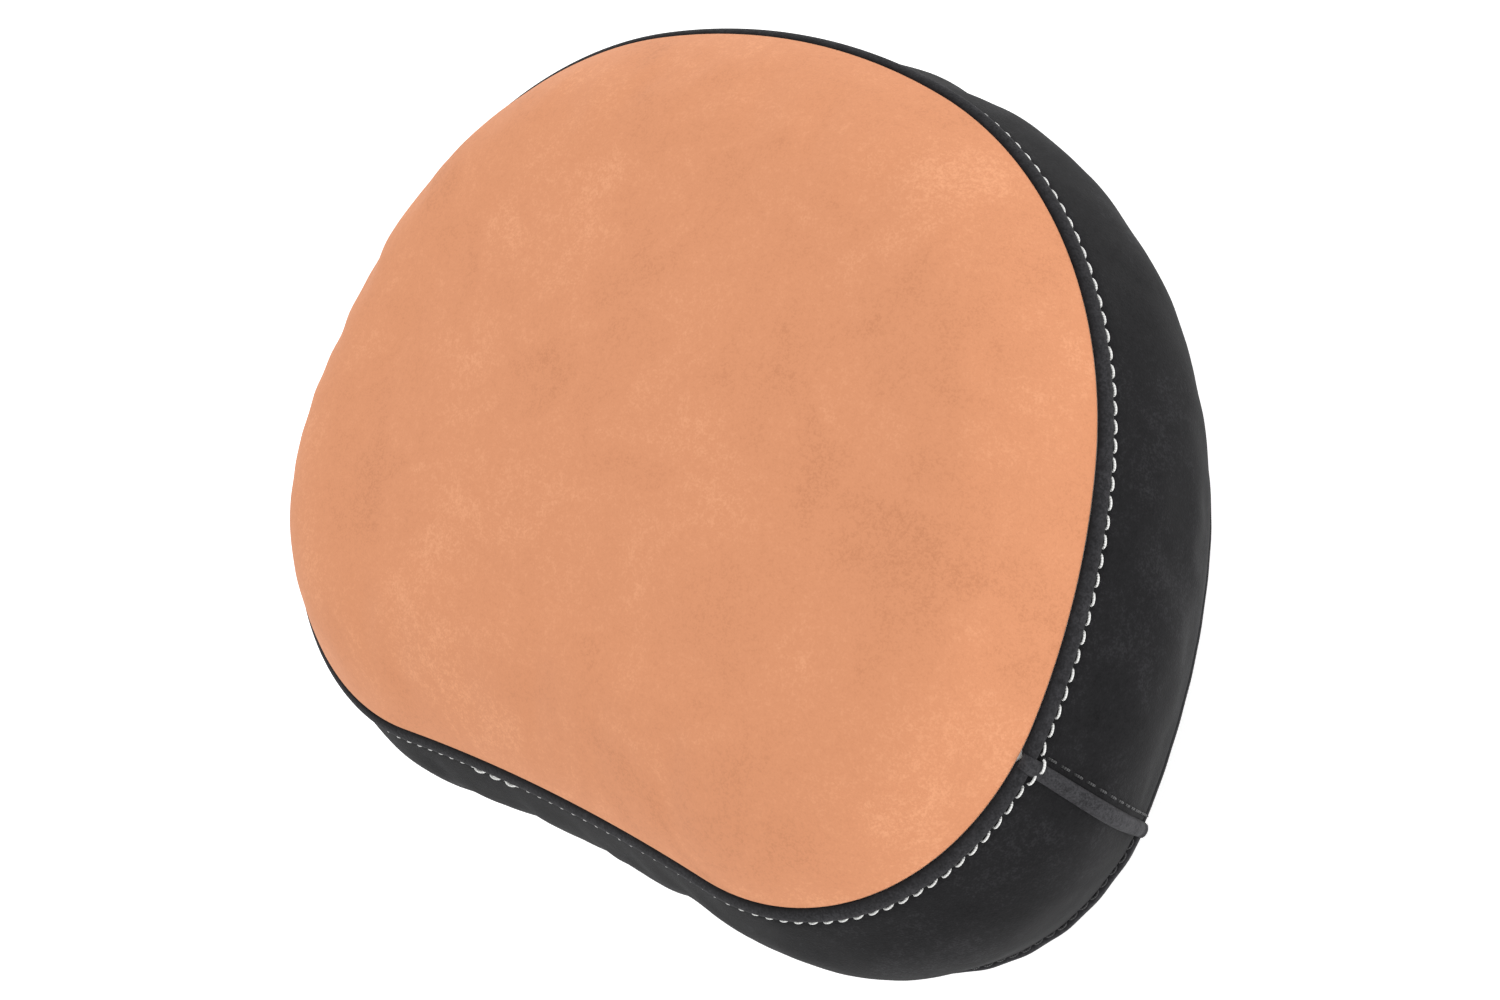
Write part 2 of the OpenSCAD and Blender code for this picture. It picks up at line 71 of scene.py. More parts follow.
# %% [markdown]
# ## Camera, light and floor
# The seat is seen from its right side and well above, with the camera rolled
# so that the back of the seat points up. Suede is matt, so most of its look
# comes from broad even light; one soft key light from the back gives the nap
# and the folds a little shade. The floor gives off some light of its own,
# which keeps it pale right up to the seat.

# %% Camera
VIEW_AZIMUTH, VIEW_ELEVATION, VIEW_ROLL = map(math.radians, (92.04, 49.29, -72.88))
VIEW_TARGET = Vector((-0.0018, 0.0001, 0.0960))
VIEW_DISTANCE = 1.1214

back = Vector((math.sin(VIEW_AZIMUTH) * math.cos(VIEW_ELEVATION),
               -math.cos(VIEW_AZIMUTH) * math.cos(VIEW_ELEVATION),
               math.sin(VIEW_ELEVATION)))
camera = bpy.data.objects.new("camera", bpy.data.cameras.new("camera"))
camera.data.lens = 62.4
camera.rotation_mode = "QUATERNION"
camera.location = VIEW_TARGET + back * VIEW_DISTANCE
camera.rotation_quaternion = (-back).to_track_quat("-Z", "Y") @ Quaternion((0, 0, 1), VIEW_ROLL)
scene.collection.objects.link(camera)
scene.camera = camera
print("camera at", [round(v, 3) for v in camera.location])

# %% Light
scene.view_settings.view_transform = "Standard"
world = bpy.data.worlds.new("soft_white_room")
world.use_nodes = True
world.node_tree.nodes["Background"].inputs["Color"].default_value = (1, 1, 1, 1)
world.node_tree.nodes["Background"].inputs["Strength"].default_value = 0.72
scene.world = world


def softbox(name, place, size, watts):
    """A square area light that faces the middle of the seat."""
    light = bpy.data.lights.new(name, "AREA")
    light.size, light.energy = size, watts
    lamp = bpy.data.objects.new(name, light)
    lamp.location = place
    lamp.rotation_mode = "QUATERNION"
    lamp.rotation_quaternion = (Vector((0, 0, 0.1)) - Vector(place)).to_track_quat("-Z", "Y")
    scene.collection.objects.link(lamp)
    return lamp


lamps = [softbox("key_softbox", (0.5, 1.3, 1.5), 1.0, 11),
         softbox("fill_softbox", (1.4, -0.9, 0.9), 1.2, 7),
         softbox("far_side_softbox", (-1.3, -0.2, 0.8), 1.0, 5)]
print("lamps:", [lamp.name for lamp in lamps])

# %% [markdown]
# ## Building node trees
# Every finish here is a small tree of shader nodes, and the stitches are a
# tree of geometry nodes. One short helper adds a node, sets its properties and
# fills its sockets, whether with a number or with a wire from another node.


# %% Helper for nodes
def add(tree, kind, settings=None, **sockets):
    """Adds a node. settings are its properties; sockets are inputs by name or by _number."""
    made = tree.nodes.new(kind)
    for name, value in (settings or {}).items():
        setattr(made, name, value)
    for name, value in sockets.items():
        socket = made.inputs[int(name[1:])] if name[0] == "_" else made.inputs[name.replace("_", " ")]
        if isinstance(value, bpy.types.NodeSocket):
            tree.links.new(value, socket)
        else:
            socket.default_value = value
    return made


def math_node(tree, operation, a, b=0.0, c=0.0):
    """The result of a math node with up to three inputs."""
    return add(tree, "ShaderNodeMath", {"operation": operation}, _0=a, _1=b, _2=c).outputs[0]


def new_group(name, kind, inputs, outputs):
    """An empty node group with named sockets, as (group, inputs by name, output node)."""
    tree = bpy.data.node_groups.new(name, kind)
    for label, (socket, default) in inputs.items():
        made = tree.interface.new_socket(label, in_out="INPUT", socket_type=socket)
        if default is not None:
            made.default_value = default
    for label, socket in outputs.items():
        tree.interface.new_socket(label, in_out="OUTPUT", socket_type=socket)
    given = tree.nodes.new("NodeGroupInput").outputs
    return tree, given, tree.nodes.new("NodeGroupOutput")


def mix_colour(tree, share, a, b):
    """The output of a colour mix node."""
    made = tree.nodes.new("ShaderNodeMix")
    made.data_type = "RGBA"
    for socket, value in ((made.inputs[0], share), (made.inputs[6], a), (made.inputs[7], b)):
        if isinstance(value, bpy.types.NodeSocket):
            tree.links.new(value, socket)
        else:
            socket.default_value = value
    return made.outputs[2]


def spread(tree, value, low, high):
    """Stretches the part of a value from low to high over 0 to 1, smoothly."""
    made = add(tree, "ShaderNodeMapRange", {"interpolation_type": "SMOOTHSTEP"},
               Value=value, From_Min=low, From_Max=high)
    return made.outputs[0]


# %% [markdown]
# ## Suede
# Suede is leather with its flesh side brushed up. Its short nap lies in
# patches where a hand last stroked it: some patches look paler, some darker,
# with soft but clear edges. Closer, the fibres give a fine even grain. Both
# suedes, the fleece and the dust cloth share one group that makes patches,
# grain and relief, each with its own sizes.


# %% Nap, shared by the cloths
FLOAT = "NodeSocketFloat"
nap, given, out = new_group("brushed_nap", "ShaderNodeTree",
                            {"Patches per metre": (FLOAT, 11.0), "Grains per metre": (FLOAT, 900.0),
                             "Edge": (FLOAT, 0.5)},
                            {"Patches": FLOAT, "Grain": FLOAT, "Relief": FLOAT})
place = nap.nodes.new("ShaderNodeTexCoord").outputs["Object"]
big = add(nap, "ShaderNodeTexNoise", Vector=place, Scale=given["Patches per metre"], Detail=3.0,
          Roughness=0.5, Distortion=0.6).outputs[0]
stroke_scale = math_node(nap, "MULTIPLY", given["Patches per metre"], 2.6)
strokes = add(nap, "ShaderNodeTexNoise", Vector=place, Scale=stroke_scale, Detail=4.0,
              Roughness=0.55, Distortion=1.4).outputs[0]
both = math_node(nap, "MULTIPLY_ADD", strokes, 0.45, math_node(nap, "MULTIPLY", big, 0.55))
half_edge = math_node(nap, "MULTIPLY", given["Edge"], 0.25)
patches = add(nap, "ShaderNodeMapRange", {"interpolation_type": "SMOOTHSTEP"}, Value=both,
              From_Min=math_node(nap, "SUBTRACT", 0.5, half_edge),
              From_Max=math_node(nap, "ADD", 0.5, half_edge)).outputs[0]
fibres = add(nap, "ShaderNodeTexNoise", Vector=place, Scale=given["Grains per metre"], Detail=1.0,
             Roughness=0.7).outputs[0]
specks_scale = math_node(nap, "MULTIPLY", given["Grains per metre"], 0.35)
specks = add(nap, "ShaderNodeTexNoise", Vector=place, Scale=specks_scale, Detail=1.0,
             Roughness=0.6).outputs[0]
grain = math_node(nap, "MULTIPLY_ADD", specks, 0.4, math_node(nap, "MULTIPLY", fibres, 0.6))
for label, value in (("Patches", patches), ("Grain", spread(nap, grain, 0.3, 0.7)), ("Relief", fibres)):
    nap.links.new(value, out.inputs[label])
print("group", nap.name, "gives", [s.name for s in out.inputs if s.name])

# %% Wear, shared by the metals and the wood
wear, given, out = new_group("handling_wear", "ShaderNodeTree",
                             {"Marks per metre": (FLOAT, 60.0), "Fine per metre": (FLOAT, 900.0)},
                             {"Marks": FLOAT, "Fine": FLOAT})
place = wear.nodes.new("ShaderNodeTexCoord").outputs["Object"]
marks = add(wear, "ShaderNodeTexNoise", Vector=place, Scale=given["Marks per metre"], Detail=5.0,
            Roughness=0.65).outputs[0]
fine = add(wear, "ShaderNodeTexNoise", Vector=place, Scale=given["Fine per metre"], Detail=2.0,
           Roughness=0.5).outputs[0]
wear.links.new(spread(wear, marks, 0.35, 0.7), out.inputs["Marks"])
wear.links.new(fine, out.inputs["Fine"])
print("group", wear.name, "gives", [s.name for s in out.inputs if s.name])


# %% A material and its shader
def material(name, colour, roughness, **constants):
    """A new material. The constants go straight on the shader's own sockets."""
    made = bpy.data.materials.new(name)
    made.use_nodes = True
    made.diffuse_color = (*colour, 1)
    shader = made.node_tree.nodes["Principled BSDF"]
    shader.inputs["Base Color"].default_value = (*colour, 1)
    shader.inputs["Roughness"].default_value = roughness
    for label, value in constants.items():
        shader.inputs[label.replace("_", " ")].default_value = value
    return made, made.node_tree, shader


def relief_to(tree, shader, height, depth, strength=1.0):
    """Feeds a height into the shader's normal. depth is in metres."""
    bump = add(tree, "ShaderNodeBump", Strength=strength, Distance=depth, Height=height)
    tree.links.new(bump.outputs[0], shader.inputs["Normal"])


def group_node(tree, group, **sockets):
    """A node that holds a shared group."""
    return add(tree, "ShaderNodeGroup", {"node_tree": group}, **sockets)


def suede(name, dark, middle, pale, patches, grains, sheen, edge, grain_share, relief_m, fold):
    """Brushed suede in three tones, and a fourth for folded edges, where the nap is rubbed."""
    made, tree, shader = material(name, middle, 0.92, Sheen_Weight=sheen, Sheen_Roughness=0.45,
                                  Specular_IOR_Level=0.15)
    fibres = group_node(tree, nap, Patches_per_metre=patches, Grains_per_metre=grains, Edge=edge)
    lift = math_node(tree, "MULTIPLY_ADD", fibres.outputs["Grain"], grain_share,
                     math_node(tree, "MULTIPLY", fibres.outputs["Patches"], 1 - grain_share))
    lower = mix_colour(tree, spread(tree, lift, 0.0, 0.5), (*dark, 1), (*middle, 1))
    nap_tone = mix_colour(tree, spread(tree, lift, 0.5, 1.0), lower, (*pale, 1))
    folded = add(tree, "ShaderNodeAttribute", {"attribute_name": "fold"}).outputs["Fac"]
    rubbed = math_node(tree, "MULTIPLY", folded,
                       math_node(tree, "MULTIPLY_ADD", fibres.outputs["Grain"], 0.7, 0.3))
    tree.links.new(mix_colour(tree, rubbed, nap_tone, (*fold, 1)), shader.inputs["Base Color"])
    relief_to(tree, shader, fibres.outputs["Relief"], relief_m, 0.6)
    return made


tan_suede = suede("tan_suede", (0.565, 0.232, 0.115), (0.685, 0.292, 0.150), (0.82, 0.385, 0.21),
                  10, 1000, 0.05, 1.4, 0.32, 0.00035, (0.78, 0.38, 0.215))
black_suede = suede("black_suede", (0.005, 0.005, 0.0055), (0.011, 0.0108, 0.0118),
                    (0.026, 0.0255, 0.028), 16, 1100, 0.03, 1.1, 0.42, 0.0003,
                    (0.060, 0.059, 0.064))
print("suedes:", tan_suede.name, black_suede.name)


# %% Fleece, foams, cloth and thread
def soft_finish(name, low, high, patches, grains, relief_m, sheen=0.0, roughness=0.95):
    """A two-tone soft finish with the shared nap."""
    made, tree, shader = material(name, high, roughness, Sheen_Weight=sheen)
    fibres = group_node(tree, nap, Patches_per_metre=patches, Grains_per_metre=grains, Edge=1.0)
    share = math_node(tree, "MULTIPLY_ADD", fibres.outputs["Patches"], 0.3,
                      math_node(tree, "MULTIPLY", fibres.outputs["Grain"], 0.7))
    tree.links.new(mix_colour(tree, share, (*low, 1), (*high, 1)), shader.inputs["Base Color"])
    relief_to(tree, shader, fibres.outputs["Relief"], relief_m)
    return made


fleece = soft_finish("white_fleece", (0.70, 0.69, 0.66), (0.92, 0.91, 0.89), 30, 260, 0.0015, 0.4)
soft_foam = soft_finish("cream_foam", (0.72, 0.62, 0.36), (0.88, 0.80, 0.52), 20, 700, 0.0006)
firm_foam = soft_finish("grey_foam", (0.16, 0.19, 0.22), (0.30, 0.34, 0.38), 20, 900, 0.0006)
dust_cloth = soft_finish("bonded_dust_cloth", (0.012, 0.012, 0.013), (0.045, 0.045, 0.048),
                         18, 1500, 0.0003, 0.1, 0.85)
rubber = soft_finish("black_rubber", (0.014, 0.014, 0.014), (0.030, 0.030, 0.030), 60, 1200,
                     0.00005, 0.0, 0.6)
nylon = soft_finish("ivory_nylon", (0.66, 0.62, 0.52), (0.80, 0.77, 0.68), 40, 900, 0.00004,
                    0.0, 0.42)


def thread_finish(name, shade, lit):
    """Twisted thread: fine bands across each stitch, from its own length attribute; the darker bands are
    painted shade between the twists, and the same bands give the bumps.
    """
    made, tree, shader = material(name, lit, 0.65, Sheen_Weight=0.2)
    along = add(tree, "ShaderNodeAttribute", {"attribute_name": "twist"}).outputs["Fac"]
    bands = math_node(tree, "SINE", math_node(tree, "MULTIPLY", along, 40.0))
    share = spread(tree, bands, -1.0, 0.6)
    tree.links.new(mix_colour(tree, share, (*shade, 1), (*lit, 1)), shader.inputs["Base Color"])
    relief_to(tree, shader, bands, 0.00015)
    return made


white_thread = thread_finish("white_thread", (0.78, 0.78, 0.76), (0.97, 0.97, 0.95))
dark_thread = thread_finish("dark_thread", (0.008, 0.008, 0.009), (0.022, 0.022, 0.024))
print("soft finishes made")


# %% [markdown]
# ## Metals, paint and plywood
# The hub is a casting under black powder paint, which is slightly pebbled. The
# bolts, staples and washers are zinc plated; the clamp bolt and its bar are
# chromed. Plywood shows its plies only at the edge, so the plies are bands by
# height, and the faces show long grain.


# %% Metals and paint
def metal(name, dull, bright, roughness, rough_marks, fine, relief_m):
    """Plated steel whose marks change both tone and roughness."""
    made, tree, shader = material(name, bright, roughness, Metallic=1.0)
    worn = group_node(tree, wear, Marks_per_metre=140.0, Fine_per_metre=fine)
    share = worn.outputs["Marks"]
    tree.links.new(mix_colour(tree, share, (*bright, 1), (*dull, 1)), shader.inputs["Base Color"])
    tree.links.new(math_node(tree, "MULTIPLY_ADD", share, rough_marks, roughness),
                   shader.inputs["Roughness"])
    relief_to(tree, shader, worn.outputs["Fine"], relief_m, 0.5)
    return made


zinc = metal("zinc_plate", (0.42, 0.43, 0.44), (0.66, 0.67, 0.68), 0.30, 0.18, 1500, 0.00004)
chrome = metal("chrome_plate", (0.62, 0.63, 0.64), (0.82, 0.83, 0.84), 0.08, 0.14, 900, 0.00001)
wire = metal("galvanised_wire", (0.38, 0.38, 0.39), (0.60, 0.61, 0.62), 0.35, 0.2, 2500, 0.00002)

powder_paint, tree, shader = material("powder_paint", (0.018, 0.018, 0.019), 0.42)
worn = group_node(tree, wear, Marks_per_metre=45.0, Fine_per_metre=1400.0)
tree.links.new(mix_colour(tree, worn.outputs["Marks"], (0.015, 0.015, 0.016, 1),
                          (0.032, 0.032, 0.033, 1)), shader.inputs["Base Color"])
tree.links.new(math_node(tree, "MULTIPLY_ADD", worn.outputs["Marks"], 0.15, 0.36),
               shader.inputs["Roughness"])
relief_to(tree, shader, worn.outputs["Fine"], 0.00025, 0.7)
print("metals and paint made")

# %% Plywood
plywood, tree, shader = material("birch_plywood", (0.62, 0.44, 0.26), 0.6)
place = tree.nodes.new("ShaderNodeTexCoord").outputs["Object"]
PLY = 0.0017
height = add(tree, "ShaderNodeSeparateXYZ", _0=place).outputs["Z"]
plies = math_node(tree, "PINGPONG", math_node(tree, "MULTIPLY", height, 1 / PLY), 1.0)
turned = add(tree, "ShaderNodeMapping", Vector=place, Scale=(6.0, 90.0, 6.0)).outputs[0]
streaks = add(tree, "ShaderNodeTexNoise", Vector=turned, Scale=3.0, Detail=6.0, Roughness=0.6,
              Distortion=0.4).outputs[0]
up = add(tree, "ShaderNodeSeparateXYZ",
         _0=tree.nodes.new("ShaderNodeNewGeometry").outputs["Normal"]).outputs["Z"]
face = math_node(tree, "GREATER_THAN", math_node(tree, "ABSOLUTE", up), 0.7)
face_wood = mix_colour(tree, streaks, (0.46, 0.29, 0.15, 1), (0.80, 0.62, 0.40, 1))
edge_wood = mix_colour(tree, spread(tree, plies, 0.2, 0.6), (0.30, 0.17, 0.08, 1), (0.72, 0.53, 0.32, 1))
tree.links.new(mix_colour(tree, face, edge_wood, face_wood), shader.inputs["Base Color"])
relief_to(tree, shader, streaks, 0.0003, 0.5)
print("plywood in plies of", PLY * 1000, "mm")

# %% Finishes of the hard parts
FINISHES = {
    "base_board": plywood, "skirt_staples": wire, "dust_cover_staples": wire, "tee_nuts": zinc,
    "hub_casting": powder_paint, "hub_bolts": zinc, "hub_spring_washers": zinc,
    "hub_flat_washers": zinc, "post_bush": nylon, "clamp_nut": zinc, "clamp_washer": zinc,
    "clamp_bolt": chrome, "clamp_handle": chrome, "handle_ends": rubber,
}
for node, finish in FINISHES.items():
    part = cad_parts[node]
    if not part.material_slots:
        part.data.materials.append(None)
    for held in part.material_slots:
        held.material = finish
print("refinished", len(FINISHES), "hard parts")

# %% [markdown]
# ## The floor
# A round sheet of pale board under the seat. It rests at the seat's lowest
# point, and a little light of its own stands for the white room behind it.
# From below it is see-through, so that the seat's underside can be looked at.

# %% Floor
floor_finish, tree, shader = material("pale_board", (0.90, 0.90, 0.90), 0.9, Specular_IOR_Level=0.0,
                                      Emission_Strength=0.62)
shader.inputs["Emission Color"].default_value = (1, 1, 1, 1)
from_below = tree.nodes.new("ShaderNodeNewGeometry").outputs["Backfacing"]
one_sided = add(tree, "ShaderNodeMixShader", _0=from_below, _1=shader.outputs[0],
                _2=tree.nodes.new("ShaderNodeBsdfTransparent").outputs[0])
tree.links.new(one_sided.outputs[0], tree.nodes["Material Output"].inputs["Surface"])
floor_mesh = bpy.data.meshes.new("floor")
shape = bmesh.new()
bmesh.ops.create_circle(shape, cap_ends=True, segments=96, radius=30.0)
for corner in shape.verts:
    corner.co.z = cad_box[0].z - 0.0005
for face in shape.faces:
    face.normal_update()
    if face.normal.z < 0:
        face.normal_flip()
shape.to_mesh(floor_mesh)
shape.free()
floor_mesh.materials.append(floor_finish)
floor = bpy.data.objects.new("floor", floor_mesh)
scene.collection.objects.link(floor)
print("floor at", round(cad_box[0].z, 4))

# %% [markdown]
# ## The outline
# The seat's outline is five arcs that meet smoothly: the back, a shoulder, the
# side, a front lobe and the hollow front, and the same again in mirror. An
# inset of the outline keeps every arc's centre and changes only its radius, so
# one list of stations along the edge serves every layer of the cushion.

# %% Sizes of the cushion
TOP_WIDTH, TOP_DEPTH = 0.430, 0.336
BACK_R, SHOULDER_R, SIDE_R, LOBE_R, FRONT_R = 0.314, 0.176, 0.274, 0.112, 1.100
WIDEST_FORWARD, FRONT_HOLLOW, CORNER_TURN = 0.040, 0.009, math.radians(5)
BAND_SWELL, BASE_INSET, TOP_SETBACK = 0.0155, 0.009, 0.019
# The foot of the band flares out at the two front lobes
FLARE, FLARE_RUN = 0.0055, 0.075
CROWN_HEIGHT, CROWN_RUN, CROWN_MIDDLE, CROWN_POWER = 0.033, 0.078, 0.006, 3.2
SUEDE, GAP, FLEECE = 0.0014, 0.0003, 0.004
HEM_WIDTH, HEM_PROUD = 0.007, 0.0022

seam_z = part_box("top_panel")[0].z
base_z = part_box("edge_skirt")[0].z
hem_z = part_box("front_band")[0].z
board_bottom, board_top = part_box("base_board")[0].z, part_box("base_board")[1].z
print("seam at", round(seam_z, 4), "hem at", round(hem_z, 4), "base at", round(base_z, 4))


# %% Arcs of half the outline
def heading(v):
    """The direction of a vector in plan, in radians."""
    return math.atan2(v.y, v.x)


def meet(c0, r0, c1, r1):
    """The right-hand one of the two points at r0 from c0 and r1 from c1."""
    apart = (c1 - c0).length
    along = (r0 ** 2 - r1 ** 2 + apart ** 2) / (2 * apart)
    aside = math.sqrt(r0 ** 2 - along ** 2)
    u = (c1 - c0) / apart
    middle, side = c0 + u * along, Vector((-u.y, u.x)) * aside
    return max(middle + side, middle - side, key=lambda p: p.x)


back_c = Vector((0, TOP_DEPTH / 2 - BACK_R))
side_c = Vector((TOP_WIDTH / 2 - SIDE_R, -WIDEST_FORWARD))
front_c = Vector((0, FRONT_HOLLOW - TOP_DEPTH / 2 - FRONT_R))
shoulder_c = meet(side_c, SIDE_R - SHOULDER_R, back_c, BACK_R - SHOULDER_R)
lobe_c = meet(side_c, SIDE_R - LOBE_R, front_c, FRONT_R + LOBE_R)
CONVEX, HOLLOW = 1, -1
ARCS = [
    (back_c, BACK_R, math.pi / 2, heading(shoulder_c - back_c), CONVEX),
    (shoulder_c, SHOULDER_R, heading(shoulder_c - back_c), heading(shoulder_c - side_c), CONVEX),
    (side_c, SIDE_R, heading(shoulder_c - side_c), heading(lobe_c - side_c), CONVEX),
    (lobe_c, LOBE_R, heading(lobe_c - side_c), heading(front_c - lobe_c), CONVEX),
    (front_c, FRONT_R, heading(lobe_c - front_c), math.pi / 2, HOLLOW),
]
LENGTHS = [r * abs(to - start) for _, r, start, to, _ in ARCS]
half_length = sum(LENGTHS)
edge_length = 2 * half_length
corner_s = sum(LENGTHS[:3]) + LOBE_R * CORNER_TURN
lobe_s = sum(LENGTHS[:3]) + LENGTHS[3] / 2
print("edge", round(edge_length, 3), "m, corner seam at", round(corner_s, 3), "m from mid-back")


# %% Stations along the edge
class Edge:
    """Stations on the outline, each a distance along the edge, clockwise from mid-back."""

    def __init__(self, distances):
        self.s = np.asarray(distances, float) % edge_length
        rows = [self._station(s) for s in self.s]
        self.centre = np.array([r[0] for r in rows])
        self.radius = np.array([r[1] for r in rows])
        self.spoke = np.array([r[2] for r in rows])
        self.bend = np.array([r[3] for r in rows])
        self.normal = self.spoke * self.bend[:, None]
        from_back = np.minimum(self.s, edge_length - self.s)
        self.flare = FLARE * np.exp(-((from_back - lobe_s) / FLARE_RUN) ** 2)

    @staticmethod
    def _station(s):
        """Arc centre, radius, direction from the centre, and bend of one station."""
        flip = -1 if s > half_length else 1
        left = min(s, edge_length - s)
        for (centre, radius, start, to, bend), length in zip(ARCS, LENGTHS):
            if left <= length or length is LENGTHS[-1]:
                break
            left -= length
        angle = start + (to - start) * left / length
        return (centre.x * flip, centre.y), radius, (math.cos(angle) * flip, math.sin(angle)), bend

    def outline(self, inset):
        """Points of the outline, inset by a number or by one number a station."""
        return self.centre + (self.radius - self.bend * inset)[:, None] * self.spoke

    def side(self, z, proud=0.0):
        """Ring on the cushion's side at height z, proud of its surface."""
        fall = (seam_z - z) / (seam_z - base_z)
        swell = BAND_SWELL * 4 * fall * (1 - fall) - BASE_INSET * fall + self.flare * fall ** 3
        points = self.outline(-(swell + proud))
        lean = TOP_SETBACK * (1 - fall)
        return np.column_stack([points[:, 0], points[:, 1] + lean, np.zeros(len(points)) + z])

    def crown(self, d, under=0.0):
        """Ring on the crown, d in from the seam and some way under its surface."""
        points = self.outline(d)
        rise = CROWN_HEIGHT * (1 - (1 - d / CROWN_RUN) ** CROWN_POWER)
        height = np.zeros(len(points)) + seam_z + rise - under
        return np.column_stack([points[:, 0], points[:, 1] + TOP_SETBACK, height])

    def middle(self, k, under=0.0):
        """Ring on the flat middle of the crown: the shoulder's inner ring made smaller by k."""
        points = self.outline(CROWN_RUN) * k
        top = seam_z + CROWN_HEIGHT + CROWN_MIDDLE * (1 - k * k) - under
        return np.column_stack([points[:, 0], points[:, 1] + TOP_SETBACK, np.full(len(points), top)])


STEP = 0.0045
rear_count = round(corner_s / STEP)
front_count = round((half_length - corner_s) / STEP)
half = np.concatenate([np.linspace(0, corner_s, rear_count, endpoint=False),
                       np.linspace(corner_s, half_length, front_count + 1)])
rim = Edge(np.concatenate([half, edge_length - half[-2:0:-1]]))
right_corner, left_corner = rear_count, len(rim.s) - rear_count
front_edge = Edge(rim.s[right_corner:left_corner + 1])
LAP = 0.0030
rear_edge = Edge(np.concatenate([[edge_length - corner_s - LAP], rim.s[left_corner:],
                                 rim.s[:right_corner + 1], [corner_s + LAP]]))
print(len(rim.s), "stations round the edge")


# %% Meshes from rings
def loft(name, rings, finish, around=True, wrap=False, caps=False):
    """A mesh through rings of points. around closes each ring, wrap joins the last ring to the
    first, and caps closes the first and last rings, or the open ends of a wrapped strip."""
    rings = [np.asarray(r, float) for r in rings]
    n, m = len(rings[0]), len(rings)
    points = np.concatenate(rings).tolist()
    columns = n if around else n - 1
    faces = []
    for j in range(m if wrap else m - 1):
        low, high = j * n, (j + 1) % m * n
        faces += [(low + i, low + (i + 1) % n, high + (i + 1) % n, high + i) for i in range(columns)]
    if caps and around:
        for first in (0, (m - 1) * n):
            points.append(np.mean(points[first:first + n], axis=0).tolist())
            faces += [(first + i, first + (i + 1) % n, len(points) - 1) for i in range(n)]
    if caps and not around:
        faces += [[j * n + end for j in range(m)] for end in (0, n - 1)]
    mesh = bpy.data.meshes.new(name)
    mesh.from_pydata(points, [], faces)
    shape = bmesh.new()
    shape.from_mesh(mesh)
    bmesh.ops.recalc_face_normals(shape, faces=shape.faces)
    shape.to_mesh(mesh)
    shape.free()
    mesh.shade_smooth()
    mesh.materials.append(finish)
    made = bpy.data.objects.new(name, mesh)
    scene.collection.objects.link(made)
    print(f"{name}: {len(mesh.polygons)} faces")
    return made


def mark_folds(made, amount):
    """Stores how rubbed each point is, from amount(point), for the suede's fourth tone."""
    fold = made.data.attributes.new("fold", "FLOAT", "POINT")
    fold.data.foreach_set("value", [amount(corner.co) for corner in made.data.vertices])


def round_off(made, levels=1):
    """Adds a subdivision that shows the same in the view and in the render."""
    smooth = made.modifiers.new("round_off", "SUBSURF")
    smooth.levels = smooth.render_levels = levels


def seat_piece(made, slot, *nodes):
    """The piece rides on the seat and stands for frame nodes, which it hides. slot is not used."""
    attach(made, "seat")
    if nodes:
        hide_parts(*nodes)


def crown_rings(edge, under):
    """Rings from the rim of the crown to its middle."""
    insets = edge + (CROWN_RUN - edge) * np.linspace(0, 1, 19) ** 1.25
    rings = [rim.crown(d, under) for d in insets]
    return rings + [rim.middle(k, under) for k in np.linspace(0.955, 0.03, 26)]


# %% [markdown]
# ## Letting the cloth settle
# Cut cloth that is pulled over a stuffed cushion isn't a perfect dome. It
# swells between its seams and puckers beside them. A cloth simulation finds
# that shape: a closed copy of the cushion, a little smaller, is remeshed, held
# along its seam and hem, made a little too large for itself, and blown up. How
# far each point moved is then read off and given to the real panels, whose
# seams stay exactly where they were sewn.

# %% The settled cushion
SMALLER, VOXEL, PRESSURE, FRAMES, CAP = 0.004, 0.006, 4.0, 20, 0.007
SPARE_CLOTH = -0.035


def settle():
    """Pairs of (place, movement) on the settled cushion, in metres."""
    side_rings = [rim.side(z, -SMALLER) for z in np.linspace(base_z + 0.004, seam_z, 16)]
    blank = loft("cloth_blank", side_rings + crown_rings(SMALLER, SMALLER)[1:], tan_suede, caps=True)
    bpy.context.view_layer.objects.active = blank
    blank.select_set(True)
    remesh = blank.modifiers.new("remesh", "REMESH")
    remesh.mode, remesh.voxel_size = "VOXEL", VOXEL
    bpy.ops.object.modifier_apply(modifier="remesh")
    start = np.array([v.co for v in blank.data.vertices])
    held = blank.vertex_groups.new(name="held")
    near_seam = KDTree(len(rim.s))
    for i, p in enumerate(rim.side(seam_z, -SMALLER)):
        near_seam.insert(Vector(p), i)
    near_seam.balance()
    for i, p in enumerate(start):
        apart = near_seam.find(Vector(p))[2]
        if apart < VOXEL or p[2] < hem_z + 0.012:
            held.add([i], 1.0, "REPLACE")
    cloth = blank.modifiers.new("cloth", "CLOTH")
    how = cloth.settings
    how.quality, how.mass = 8, 0.3
    how.tension_stiffness = how.compression_stiffness = 25
    how.shear_stiffness, how.bending_stiffness = 12, 0.35
    how.vertex_group_mass = "held"
    how.use_pressure, how.uniform_pressure_force = True, PRESSURE
    how.shrink_min = SPARE_CLOTH
    how.effector_weights.gravity = 0
    cloth.collision_settings.use_collision = False
    for frame_number in range(1, FRAMES + 1):
        scene.frame_set(frame_number)
    shaped = blank.evaluated_get(bpy.context.evaluated_depsgraph_get())
    moved = np.array([v.co for v in shaped.data.vertices]) - start
    far = np.maximum(np.linalg.norm(moved, axis=1), 1e-9)
    moved *= np.minimum(1, CAP / far)[:, None]
    scene.frame_set(1)
    bpy.data.objects.remove(blank)
    print("settled", len(start), "points, furthest", round(far.max() * 1000, 1), "mm")
    return start, moved


